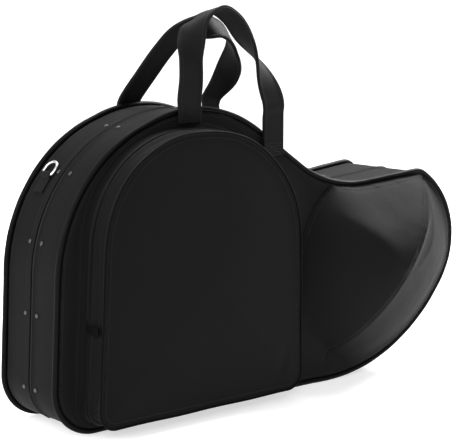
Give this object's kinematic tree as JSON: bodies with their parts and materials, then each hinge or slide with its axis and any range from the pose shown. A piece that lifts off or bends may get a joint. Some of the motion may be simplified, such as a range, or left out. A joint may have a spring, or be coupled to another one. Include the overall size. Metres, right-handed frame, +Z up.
{
  "type": "french horn case",
  "caption": "Horn-shaped zipped case of two moulded half shells with a fabric hinge, strap handles, D-rings, an arched front pocket and a fitted interior.",
  "frame": {"origin": "centre of the overall box in X and Y, at the height of the two rolled bindings that the case stands on", "axes": "+X along the case to the bell end, -Y to the front with the pocket, +Z up as the case stands"},
  "size_m": [0.7292, 0.34, 0.5568],
  "materials": {
    "shell_fabric": "woven nylon over a moulded shell",
    "pocket_fabric": "woven nylon, softly creased",
    "webbing": "ribbed webbing",
    "binding_vinyl": "rolled vinyl binding, satin",
    "zip_tape": "twill tape with a nylon coil",
    "dark_metal": "black plated",
    "nickel": "nickel plated wire",
    "plush": "short plush",
    "fibre_board": "covered fibre board"
  },
  "bodies": {
    "tray": {"tray_shell": "shell_fabric", "tray_binding": "binding_vinyl", "tray_lining": "plush", "tray_zip_tape": "zip_tape", "tray_hinge_leaf": "shell_fabric", "tray_rivet_1": "dark_metal", "tray_rivet_2": "dark_metal", "tray_rivet_3": "dark_metal", "tray_rivet_4": "dark_metal", "tray_rivet_5": "dark_metal", "tray_rivet_6": "dark_metal", "tray_rivet_7": "dark_metal", "tray_rivet_8": "dark_metal", "d_ring_tab_left": "webbing", "d_ring_tab_right": "webbing", "back_handle_anchor_left": "webbing", "back_handle_anchor_right": "webbing", "accessory_box": "fibre_board", "mouthpiece_block": "plush", "coil_island": "plush", "neck_rest": "plush"},
    "lid": {"lid_shell": "shell_fabric", "lid_binding": "binding_vinyl", "lid_lining": "plush", "lid_zip_tape": "zip_tape", "lid_hinge_leaf": "shell_fabric", "lid_rivet_1": "dark_metal", "lid_rivet_2": "dark_metal", "lid_rivet_3": "dark_metal", "lid_rivet_4": "dark_metal", "lid_rivet_5": "dark_metal", "lid_rivet_6": "dark_metal", "lid_rivet_7": "dark_metal", "lid_rivet_8": "dark_metal", "front_handle_anchor_left": "webbing", "front_handle_anchor_right": "webbing", "pocket_rear_strip": "pocket_fabric", "pocket_lower": "pocket_fabric", "pocket_zip_tape": "zip_tape", "pocket_zip_tab_left": "webbing", "pocket_zip_tab_right": "webbing", "lid_pad": "plush"},
    "front_handle": {"front_handle": "webbing"},
    "back_handle": {"back_handle": "webbing"},
    "d_ring_left": {"d_ring_left": "nickel"},
    "d_ring_right": {"d_ring_right": "nickel"},
    "zip_slider_left": {"zip_slider_left": "dark_metal"},
    "zip_slider_right": {"zip_slider_right": "dark_metal"},
    "zip_pull_left": {"zip_pull_left": "dark_metal"},
    "zip_pull_right": {"zip_pull_right": "dark_metal"},
    "pocket_flap": {"pocket_flap": "pocket_fabric"},
    "pocket_zip_slider": {"pocket_zip_slider": "dark_metal"},
    "pocket_zip_pull": {"pocket_zip_pull": "dark_metal"},
    "accessory_lid": {"accessory_lid": "plush"}
  },
  "joints": [
    {"name": "lid_hinge", "type": "hinge", "parent": "tray", "child": "lid", "pos_m": [-0.1, 0, 0.00325], "axis": [1, 0, 0], "range_deg": [0, 165]},
    {"name": "front_handle_fold", "type": "hinge", "parent": "lid", "child": "front_handle", "pos_m": [-0.0695, -0.0696, 0.416], "axis": [1, 0, 0], "range_deg": [-5, 98]},
    {"name": "back_handle_fold", "type": "hinge", "parent": "tray", "child": "back_handle", "pos_m": [-0.0695, 0.0696, 0.416], "axis": [-1, 0, 0], "range_deg": [-5, 120]},
    {"name": "d_ring_left_swing", "type": "hinge", "parent": "tray", "child": "d_ring_left", "pos_m": [-0.30648, 0.031, 0.33427], "axis": [0, -1, 0], "range_deg": [0, 170]},
    {"name": "d_ring_right_swing", "type": "hinge", "parent": "tray", "child": "d_ring_right", "pos_m": [0.35494, 0.031, 0.23723], "axis": [0, 1, 0], "range_deg": [0, 165]},
    {"name": "zip_slider_left_run", "type": "hinge", "parent": "tray", "child": "zip_slider_left", "pos_m": [0.17059, 0, 0.48124], "axis": [0, 1, 0], "range_deg": [0, 12]},
    {"name": "zip_slider_right_run", "type": "hinge", "parent": "tray", "child": "zip_slider_right", "pos_m": [0.17059, 0, 0.48124], "axis": [0, -1, 0], "range_deg": [0, 12]},
    {"name": "zip_pull_left_swing", "type": "hinge", "parent": "zip_slider_left", "child": "zip_pull_left", "pos_m": [0.12614, 0, 0.30161], "axis": [0, 1, 0], "range_deg": [0, 150]},
    {"name": "zip_pull_right_swing", "type": "hinge", "parent": "zip_slider_right", "child": "zip_pull_right", "pos_m": [0.14061, 0, 0.29863], "axis": [0, -1, 0], "range_deg": [0, 150]},
    {"name": "pocket_flap_fold", "type": "hinge", "parent": "lid", "child": "pocket_flap", "pos_m": [-0.15, -0.1216, 0.152], "axis": [1, 0, 0], "range_deg": [0, 160]},
    {"name": "pocket_slider_run", "type": "slide", "parent": "lid", "child": "pocket_zip_slider", "axis": [0, 0, 1], "range_m": [0, 0.04]},
    {"name": "pocket_pull_swing", "type": "hinge", "parent": "pocket_zip_slider", "child": "pocket_zip_pull", "pos_m": [0.02582, -0.08064, 0.176], "axis": [0, -1, 0], "range_deg": [0, 45]},
    {"name": "accessory_lid_fold", "type": "hinge", "parent": "tray", "child": "accessory_lid", "pos_m": [0.072, 0.00848, 0.034], "axis": [1, 0, 0], "range_deg": [0, 90]}
  ]
}
